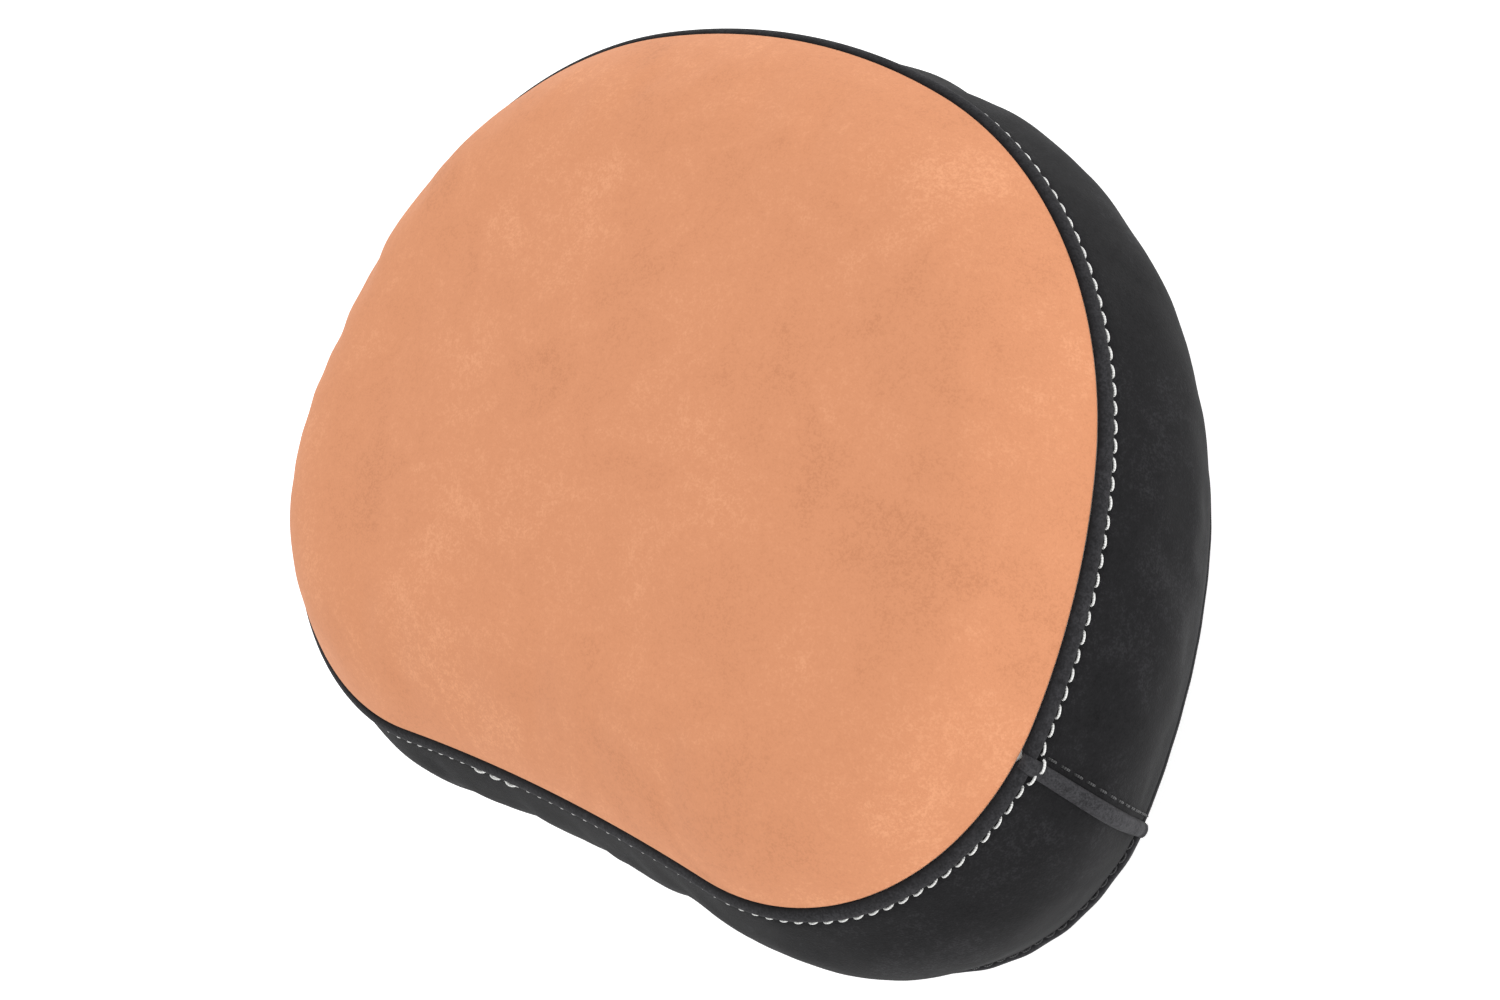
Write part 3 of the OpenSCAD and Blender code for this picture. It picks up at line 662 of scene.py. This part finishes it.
settled_at, settled_by = settle()
settled_tree = KDTree(len(settled_at))
for i, p in enumerate(settled_at):
    settled_tree.insert(Vector(p), i)
settled_tree.balance()


# %% Giving the settled shape to a panel
NEAR, AMOUNT, SOFTEN = 6, 0.75, 0.002


def settled_shift(p):
    """How the settled cloth moved near a point."""
    found = settled_tree.find_n(p, NEAR)
    shares = np.array([1 / (apart + SOFTEN) for _, _, apart in found])
    mean = (settled_by[[i for _, i, _ in found]] * shares[:, None]).sum(0) / shares.sum()
    return Vector(mean) * AMOUNT


def drape(made, weight):
    """Moves a panel's points as the settled cloth moved. weight(p) is 0 where it is sewn."""
    for corner in made.data.vertices:
        share = weight(corner.co)
        if share > 0:
            corner.co += settled_shift(corner.co) * share


def fade(value, full):
    """From 0 to 1, smoothly, as value goes from 0 to full."""
    t = min(1.0, max(0.0, value / full))
    return t * t * (3 - 2 * t)


# %% [markdown]
# ## The tan top
# One piece of suede covers the crown and turns under at its rim. Puckers run
# in from the seam where the cloth is eased round the left side, and shallow
# hollows show where people have sat. Both are given to the mesh itself, so
# that they show against the light from any side.

# %% Tan top
top_rings = ([rim.crown(SUEDE + GAP, SUEDE + GAP)] + [rim.crown(0.0006, 0.0012)]
             + crown_rings(0.0004, 0.0))
under_rings = [r - np.array([0, 0, SUEDE]) for r in crown_rings(SUEDE + GAP, 0.0)]
tan_top = loft("tan_top", under_rings[::-1] + top_rings, tan_suede, caps=True)

rim_tree = KDTree(len(rim.s))
for i, p in enumerate(rim.crown(0.0)):
    rim_tree.insert(Vector((p[0], p[1], 0)), i)
rim_tree.balance()


def rim_distance(p):
    """How far in from the rim a point is, and how far along the edge."""
    _, i, apart = rim_tree.find(Vector((p.x, p.y, 0)))
    return apart, rim.s[i]


PUCKER_PITCH, PUCKER_DEPTH, PUCKER_RUN = 0.021, 0.0013, 0.055
pucker_middle = edge_length - corner_s * 0.86


def pucker(p):
    """Height of the puckers beside the seam: strong on the left side, faint elsewhere."""
    inward, s = rim_distance(p)
    fan = s + 0.25 * inward
    wobble = noise.noise(Vector((s * 9, inward * 20, 3.1)))
    ridge = (0.3 * math.sin(2 * math.pi * fan / PUCKER_PITCH + 4 * wobble)
             + 1.3 * noise.noise(Vector((fan * 1.4 / PUCKER_PITCH, inward * 9, 6.2))))
    near = math.exp(-((s - pucker_middle) / 0.17) ** 2)
    amount = PUCKER_DEPTH * (0.10 + 0.90 * near) * (0.55 + 0.45 * wobble)
    return amount * ridge * fade(inward, 0.007) * (1 - fade(inward - 0.010, PUCKER_RUN))


def hollow(p):
    """Shallow, broad unevenness of the padding."""
    place = Vector((p.x * 7, p.y * 7, 0.4))
    broad = noise.noise(place)
    small = noise.noise(place * 3.1 + Vector((5, 2, 0)))
    return 0.0011 * broad + 0.0003 * small


BAND_SHARE, CROWN_SHARE, SEWN_EDGE, EASE = 0.8, 0.7, 0.008, 0.03


def band_share(z):
    """How much of the settled movement the band takes at a height: none where it is sewn."""
    return BAND_SHARE * fade(seam_z - z - SEWN_EDGE, EASE) * fade(z - hem_z - HEM_WIDTH, 0.025)


def crown_share(p):
    """How much of the settled movement the crown takes: none at its rim."""
    return CROWN_SHARE * fade(rim_distance(p)[0] - 0.002, EASE)


def settle_cover(made):
    """Gives the crown its puckers and hollows, and the whole piece the settled shape."""
    for corner in made.data.vertices:
        if corner.co.z > seam_z - SUEDE:
            inward, _ = rim_distance(corner.co)
            corner.co.z += pucker(corner.co) + hollow(corner.co) * fade(inward, 0.02)
    drape(made, lambda p: crown_share(p) if p.z > seam_z else band_share(p.z))


settle_cover(tan_top)
round_off(tan_top)
seat_piece(tan_top, "tan_suede", "top_panel")

# %% [markdown]
# ## The black band
# The band is two panels of suede, whose foot flares at the front lobes. Just
# under the tan edge it is folded over a cord-like allowance into a soft roll,
# and the white topstitching pulls a groove below that roll. The front panel
# ends in a folded hem with its own dark topstitch; the rear panel is simply
# turned under. Both swell out over the padding, and the front hem ripples a
# little where the fold is gathered.

# %% Profile of the band
ROLL_WIDTH, ROLL_PROUD, GROOVE = 0.0062, 0.0021, 0.0010
ROLL_TONE, HEM_TONE, WELT_TONE = 0.55, 0.75, 0.85
STITCH_DROP = ROLL_WIDTH + 0.0009
HEM_TOP = hem_z + HEM_WIDTH


def roll_profile(drop):
    """How far the rolled strip and its groove stand proud, by the drop below the seam."""
    if drop < ROLL_WIDTH:
        return ROLL_PROUD * math.sin(math.pi * max(drop, 0.0) / ROLL_WIDTH) ** 0.7
    return -GROOVE * math.exp(-((drop - STITCH_DROP) / 0.0013) ** 2)


def hem_profile(rise):
    """How far the folded hem stands proud, by the height above its foot."""
    if rise < HEM_WIDTH:
        return HEM_PROUD * max(0.0, math.sin(math.pi * rise / HEM_WIDTH)) ** 0.6
    return -0.0008 * math.exp(-((rise - HEM_WIDTH - 0.0006) / 0.0011) ** 2)


roll_drops = list(np.linspace(0, ROLL_WIDTH, 9)) + [0.0064, 0.0069, 0.0075, 0.0084, 0.0098]
middle_drops = list(np.linspace(0.0125, seam_z - HEM_TOP - 0.0035, 19))
hem_rises = [0.0092, 0.0082, 0.0076, 0.0070] + list(np.linspace(0.0063, 0.0, 8))
band_levels = [seam_z - d for d in roll_drops + middle_drops] + [hem_z + r for r in hem_rises]
HEM_RIPPLE = 0.0005


def ripple(edge, strength):
    """Uneven gathers of a hem, one number a station."""
    return np.array([strength * noise.noise(Vector((s * 42, 1.7, 0.3)))
                     + 0.5 * strength * math.sin(2 * math.pi * s / 0.019) for s in edge.s])


def crease(edge, z):
    """Soft slack creases in the wall of the band, one number a station."""
    low = fade(seam_z - z, 0.03) * fade(z - HEM_TOP, 0.02)
    return low * np.array([0.0013 * noise.noise(Vector((s * 11, z * 20, 2.0)))
                           + 0.0006 * noise.noise(Vector((s * 30, z * 55, 7.0))) for s in edge.s])


def band(name, edge, hem_strength, *nodes):
    """One panel of the side band, with its roll, groove and hem."""
    gathers = ripple(edge, HEM_RIPPLE * hem_strength)
    outer = [edge.side(seam_z - 0.0004, -SUEDE)]
    for z in band_levels:
        hem = hem_profile(z - hem_z) * hem_strength
        at_hem = 1 - fade(z - HEM_TOP, 0.006)
        outer.append(edge.side(z, roll_profile(seam_z - z) + hem + crease(edge, z) + gathers * at_hem))
    inner = [edge.side(z, -SUEDE) for z in band_levels[::-2] if z < seam_z - 0.002]
    made = loft(name, outer + inner, black_suede, around=False, wrap=True, caps=True)
    mark_folds(made, lambda p: ROLL_TONE * max(0, roll_profile(seam_z - p.z)) / ROLL_PROUD
               + HEM_TONE * hem_strength * max(0, hem_profile(p.z - hem_z)) / HEM_PROUD)
    drape(made, lambda p: band_share(p.z))
    round_off(made)
    seat_piece(made, "black_suede", *nodes)


band("front_panel", front_edge, 1.0, "front_band")
band("rear_panel", rear_edge, 0.35, "rear_band")

# %% [markdown]
# ## Corner seams
# At each corner the front panel's edge is folded into a flat welt that laps
# the rear panel. It runs from the tan edge, over the roll, to the foot of the
# hem, where its end is rounded. Each welt is a small closed patch laid on the
# side of the cushion.

# %% Corner welts
WELT_WIDTH, WELT_PROUD, WELT_END, WELT_SUNK = 0.0070, 0.0027, 0.0030, 0.0004


def welt(name, side):
    """The folded welt at the right (side 1) or left (side -1) corner seam."""
    across = np.linspace(0, 1, 11)
    edge = Edge(side * (corner_s + WELT_WIDTH * (across - 0.08)))
    fold = np.sin(np.pi * across) ** 0.45
    rings_out, rings_in = [], []
    for z in np.concatenate([np.linspace(seam_z - 0.0002, HEM_TOP, 46),
                             np.linspace(HEM_TOP - 0.0015, hem_z - 0.0002, 9)]):
        end = math.sqrt(max(0.0, min(1.0, (z - hem_z + 0.0003) / WELT_END)))
        bed = max(roll_profile(seam_z - z) * 0.8, 0) + 0.5 * max(hem_profile(z - hem_z), 0)
        uneven = 0.0003 * noise.noise(Vector((z * 70, side * 4.0, 0.0)))
        proud = bed + (WELT_PROUD + uneven) * fold * end
        rings_out.append(edge.side(z, proud + np.mean(crease(edge, z))))
        rings_in.append(edge.side(z, -WELT_SUNK))
    made = loft(name, rings_out + rings_in[::-1], black_suede, around=False, wrap=True, caps=True)
    mark_folds(made, lambda p: WELT_TONE)
    drape(made, lambda p: band_share(p.z))
    round_off(made)
    seat_piece(made, "black_suede")


welt("corner_welt_right", 1)
welt("corner_welt_left", -1)

# %% [markdown]
# ## Edge skirt
# A strip of the same suede covers the board's edge. It shows as a thin second
# layer below the hem and turns in under the board, where it is stapled. Cloth
# that is turned round a curve must be gathered, so the turned part has pleats.

# %% Edge skirt
SKIRT_IN, SKIRT_TURN, SKIRT_RISE = SUEDE + GAP, 0.028, 0.013


def flat_ring(edge, inset, z):
    """Ring of the skirt, some way in from the board's edge, flared as the band is."""
    points = edge.outline(BASE_INSET + inset - edge.flare * (1 - min(1, inset / SKIRT_TURN)))
    return np.column_stack([points, np.zeros(len(points)) + z])


def skirt_wave(amount):
    """Height of the pleats under the board, one number a station."""
    return np.array([amount * math.sin(2 * math.pi * s / 0.016 + 3 * noise.noise(Vector((s * 8, 0, 5))))
                     for s in rim.s])


outside = [flat_ring(rim, SKIRT_IN, z) for z in np.linspace(board_bottom + SKIRT_RISE, base_z + 0.0022, 6)]
outside += [flat_ring(rim, SKIRT_IN + 0.0006, base_z + 0.0009), flat_ring(rim, SKIRT_IN + 0.0020, base_z)]
outside += [flat_ring(rim, d, base_z + np.maximum(0, skirt_wave(0.0005)) * (d < SKIRT_TURN - 0.001))
            for d in np.linspace(0.006, SKIRT_TURN, 9)]
inside = [flat_ring(rim, d, board_bottom - 0.0001) for d in np.linspace(SKIRT_TURN, SKIRT_IN + SUEDE, 6)]
inside += [flat_ring(rim, SKIRT_IN + SUEDE, z)
           for z in np.linspace(board_bottom + 0.001, board_bottom + SKIRT_RISE, 4)]
skirt = loft("edge_skirt_suede", outside + inside, black_suede, wrap=True)
round_off(skirt)
seat_piece(skirt, "black_suede", "edge_skirt")

# %% [markdown]
# ## Dust cloth
# A sheet of black bonded cloth hides the staples of the skirt. It is cut to
# the outline with a hole for the hub, pulled flat and stapled, so it is only
# slightly slack between its staples.

# %% Dust cloth
CLOTH_INSET, CLOTH_T, HOLE_W, HOLE_R = 0.009, 0.0008, 0.112, 0.016
cloth_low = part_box("dust_cover")[0].z


def hole_point(direction):
    """Where a ray from the middle leaves the rounded square hole."""
    half_w = HOLE_W / 2
    reach = half_w / max(abs(direction[0]), abs(direction[1]))
    corner = half_w - HOLE_R
    x, y = abs(direction[0]), abs(direction[1])
    if min(x, y) * reach > corner:
        b = (x + y) * corner
        reach = b + math.sqrt(b * b - 2 * corner ** 2 + HOLE_R ** 2)
    return direction * reach


outer_cloth = rim.outline(BASE_INSET + CLOTH_INSET)
hole = np.array([hole_point(p / np.linalg.norm(p)) for p in outer_cloth])


def cloth_ring(share, z):
    """Ring of the dust cloth, a share of the way from its edge to its hole."""
    points = outer_cloth * (1 - share) + hole * share
    slack = np.array([0.00025 * noise.noise(Vector((x * 22, y * 22, 1.0))) for x, y in points])
    return np.column_stack([points, z + slack * math.sin(math.pi * share)])


shares = np.linspace(0, 1, 24)
cloth_rings = [cloth_ring(u, cloth_low + 0.0001) for u in shares]
cloth_rings += [cloth_ring(u, cloth_low + CLOTH_T) for u in shares[::-1]]
dust_sheet = loft("dust_sheet", cloth_rings, dust_cloth, wrap=True)


seat_piece(dust_sheet, "dust_cloth", "dust_cover")

# %% [markdown]
# ## Padding
# Under the suede lie a fleece wrap, a soft foam and a firm foam. They don't
# show on a finished seat, but they are what the seat is made of, so each is a
# closed piece of its own in the space that the frame gives it.

# %% Fleece and foams
FLEECE_IN = SUEDE + GAP
FOAM_IN = FLEECE_IN + FLEECE + GAP
FLEECE_TUFT, FOAM_TUFT = 0.0003, 0.0002
support_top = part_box("support_foam")[1].z
fleece_levels = np.linspace(board_top, seam_z, 22)


def tufts(ring, amount):
    """Pushes a ring in and out along the edge's normal, as fleece and cut foam are uneven."""
    push = np.array([amount * noise.noise(Vector(p) * 60) for p in ring])
    ring[:, :2] += rim.normal * push[:, None]
    return ring


fleece_out = [tufts(rim.side(z, -FLEECE_IN), FLEECE_TUFT) for z in fleece_levels]
fleece_out += crown_rings(FLEECE_IN + FLEECE, FLEECE_IN)
fleece_in = [rim.side(z, -FLEECE_IN - FLEECE) for z in fleece_levels]
fleece_in += crown_rings(FOAM_IN + 0.001, FLEECE_IN + FLEECE)
fleece_piece = loft("fleece_layer", fleece_in[::-1] + fleece_out, fleece)
shape = bmesh.new()
shape.from_mesh(fleece_piece.data)
shape.edges.ensure_lookup_table()
loops = [e for e in shape.edges if e.is_boundary]
bmesh.ops.holes_fill(shape, edges=loops, sides=0)
bmesh.ops.recalc_face_normals(shape, faces=shape.faces)
shape.to_mesh(fleece_piece.data)
shape.free()
fleece_piece.data.shade_smooth()
settle_cover(fleece_piece)
seat_piece(fleece_piece, "fleece", "fleece_wrap")

soft_rings = [tufts(rim.side(z, -FOAM_IN - GAP), FOAM_TUFT) for z in np.linspace(support_top, seam_z, 12)]
soft_piece = loft("soft_foam_layer", soft_rings + crown_rings(FOAM_IN + 0.001, FOAM_IN + GAP),
                  soft_foam, caps=True)
settle_cover(soft_piece)
seat_piece(soft_piece, "soft_foam", "comfort_foam")

firm_rings = [tufts(rim.side(z, -FOAM_IN - GAP), FOAM_TUFT)
              for z in np.linspace(board_top, support_top, 14)]
firm_piece = loft("firm_foam_layer", firm_rings, firm_foam, caps=True)
settle_cover(firm_piece)
seat_piece(firm_piece, "firm_foam", "support_foam")

# %% [markdown]
# ## Stitching
# A row of stitches is one shape repeated along a path, which is what Geometry
# Nodes are for. The tree makes one stitch, a bead of thread that rises out of
# the suede and dives back in, and sets it at even steps along a guide line.
# The guide carries the direction that faces out of the suede, so that each
# stitch stands on its surface.

# %% Tree that sews a line
sewing, given, out = new_group("sewn_line", "GeometryNodeTree",
                               {"Guide": ("NodeSocketGeometry", None), "Pitch": (FLOAT, 0.007),
                                "Stitch": (FLOAT, 0.0048), "Thread": (FLOAT, 0.0006),
                                "Rise": (FLOAT, 0.0008), "Slant": (FLOAT, 0.12),
                                "Thread finish": ("NodeSocketMaterial", None)},
                               {"Sewn": "NodeSocketGeometry"})


def join_xyz(x, y, z):
    """A vector socket made from three numbers or sockets."""
    return add(sewing, "ShaderNodeCombineXYZ", X=x, Y=y, Z=z).outputs[0]


line = add(sewing, "GeometryNodeMeshToCurve", Mesh=given["Guide"]).outputs[0]
length = add(sewing, "GeometryNodeCurveLength", Curve=line).outputs[0]
count = math_node(sewing, "ROUND", math_node(sewing, "DIVIDE", length, given["Pitch"]))
evenly = add(sewing, "GeometryNodeResampleCurve", Curve=line, Count=count).outputs[0]
outward = add(sewing, "GeometryNodeInputNamedAttribute", {"data_type": "FLOAT_VECTOR"}, Name="outward")
along = sewing.nodes.new("GeometryNodeInputTangent").outputs[0]
turn = add(sewing, "FunctionNodeAxesToRotation", {"primary_axis": "X", "secondary_axis": "Z"},
           _0=along, _1=outward.outputs[0]).outputs[0]
lean = add(sewing, "FunctionNodeEulerToRotation", _0=join_xyz(0.0, 0.0, given["Slant"])).outputs[0]
slanted = add(sewing, "FunctionNodeRotateRotation", {"rotation_space": "LOCAL"},
              _0=turn, _1=lean).outputs[0]
reach = math_node(sewing, "MULTIPLY", given["Stitch"], 0.5)
near = math_node(sewing, "MULTIPLY", reach, -1.0)
dive = math_node(sewing, "MULTIPLY", given["Thread"], -1.4)
peak = math_node(sewing, "MULTIPLY", given["Rise"], 1.3)
bead = add(sewing, "GeometryNodeCurvePrimitiveBezierSegment", {"mode": "POSITION"}, Resolution=9,
           Start=join_xyz(near, 0.0, dive), Start_Handle=join_xyz(near, 0.0, peak),
           End_Handle=join_xyz(reach, 0.0, peak), End=join_xyz(reach, 0.0, dive)).outputs[0]
wound = add(sewing, "GeometryNodeStoreNamedAttribute", {"data_type": "FLOAT", "domain": "POINT"},
            Geometry=bead, Name="twist",
            Value=add(sewing, "GeometryNodeSplineParameter").outputs["Factor"]).outputs[0]
section = add(sewing, "GeometryNodeCurvePrimitiveCircle", Resolution=8, Radius=given["Thread"]).outputs[0]
stitch = add(sewing, "GeometryNodeCurveToMesh", Curve=wound, Profile_Curve=section,
             Fill_Caps=True).outputs[0]
placed = add(sewing, "GeometryNodeInstanceOnPoints", Points=evenly, Instance=stitch,
             Rotation=slanted).outputs[0]
real = add(sewing, "GeometryNodeRealizeInstances", Geometry=placed).outputs[0]
dyed = add(sewing, "GeometryNodeSetMaterial", Geometry=real, Material=given["Thread finish"]).outputs[0]
smooth = add(sewing, "GeometryNodeSetShadeSmooth", Geometry=dyed).outputs[0]
sewing.links.new(smooth, out.inputs["Sewn"])
print("sewing tree has", len(sewing.nodes), "nodes")


# %% Sewing along a guide
def sew(name, points, normals, closed, finish, slot, **sizes):
    """A row of stitches along points, as one plain mesh that rides on the seat."""
    n = len(points)
    mesh = bpy.data.meshes.new(name + "_guide")
    links = [(i, (i + 1) % n) for i in range(n if closed else n - 1)]
    mesh.from_pydata([tuple(p) for p in points], links, [])
    facing = mesh.attributes.new("outward", "FLOAT_VECTOR", "POINT")
    facing.data.foreach_set("vector", np.asarray(normals, np.float32).ravel())
    guide = bpy.data.objects.new(name + "_guide", mesh)
    scene.collection.objects.link(guide)
    row = guide.modifiers.new("sewn_line", "NODES")
    row.node_group = sewing
    sockets = {s.name: s.identifier for s in sewing.interface.items_tree if s.in_out == "INPUT"}
    for label, value in sizes.items():
        row[sockets[label]] = value
    row[sockets["Thread finish"]] = finish
    bpy.context.view_layer.update()
    graph = bpy.context.evaluated_depsgraph_get()
    thread = bpy.data.meshes.new_from_object(guide.evaluated_get(graph), depsgraph=graph)
    bpy.data.objects.remove(guide)
    made = bpy.data.objects.new(name, thread)
    scene.collection.objects.link(made)
    seat_piece(made, slot)
    print(f"{name}: {len(thread.polygons)} faces")


def facing_out(edge, tilt=0.0):
    """Directions square to the side at each station, tilted up by tilt."""
    up = np.full(len(edge.s), math.sin(tilt))
    return np.column_stack([edge.normal * math.cos(tilt), up])


# %% White topstitching round the rim
seam_edge = Edge(np.linspace(0, edge_length, 640, endpoint=False))
stitch_z = seam_z - STITCH_DROP


def over_welts(edge):
    """How far the thread is lifted where it passes over a corner welt."""
    lift = np.zeros(len(edge.s))
    for middle in (corner_s + WELT_WIDTH * 0.42, edge_length - corner_s - WELT_WIDTH * 0.42):
        lift += (WELT_PROUD + GROOVE) * np.exp(-((edge.s - middle) / 0.0042) ** 4)
    return lift


TILT, STITCH_SUNK = 0.38, 0.0003
stitch_line = seam_edge.side(stitch_z, over_welts(seam_edge) - STITCH_SUNK)
sew("rim_topstitch", stitch_line, facing_out(seam_edge, TILT), True, white_thread, None,
    Pitch=0.0071, Stitch=0.0047, Thread=0.00052, Rise=0.0009, Slant=0.14)

# %% Back-tack where the seam was started
TACK_AT, TACK_LENGTH, TACK_DROP, TACK_PROUD = half_length + 0.030, 0.020, 0.0007, 0.0002
tack_edge = Edge(np.linspace(TACK_AT, TACK_AT + TACK_LENGTH, 24))
tack_line = tack_edge.side(stitch_z - TACK_DROP, TACK_PROUD)
sew("rim_back_tack", tack_line, facing_out(tack_edge, TILT), False, white_thread, None,
    Pitch=0.0066, Stitch=0.0060, Thread=0.00060, Rise=0.0011, Slant=-0.10)

# %% Dark topstitching on the front hem and beside the corner seams
HEM_STITCH_UP, HEM_STITCH_SUNK = 0.0006, 0.0002
hem_start = corner_s + WELT_WIDTH + 0.003
hem_edge = Edge(np.linspace(hem_start, edge_length - hem_start, 400))
hem_stitch = hem_edge.side(HEM_TOP + HEM_STITCH_UP, ripple(hem_edge, HEM_RIPPLE) - HEM_STITCH_SUNK)
sew("hem_topstitch", hem_stitch, facing_out(hem_edge), False, dark_thread, "black_suede",
    Pitch=0.0062, Stitch=0.0042, Thread=0.00048, Rise=0.0007, Slant=0.0)

SEAM_OFFSET = 0.0028
for side, label in ((1, "right"), (-1, "left")):
    drops = np.linspace(0.012, seam_z - hem_z - 0.004, 60)
    station = Edge([side * (corner_s - SEAM_OFFSET)])
    line = np.concatenate([station.side(seam_z - d, 0.0) + np.column_stack(
        [station.normal * np.mean(crease(station, seam_z - d)), [0]]) for d in drops])
    line += [settled_shift(Vector(p)) * band_share(p[2]) for p in line]
    normals = np.repeat(facing_out(station), len(drops), axis=0)
    sew("corner_topstitch_" + label, line, normals, False, dark_thread, "black_suede",
        Pitch=0.0064, Stitch=0.0042, Thread=0.00048, Rise=0.0008, Slant=0.0)
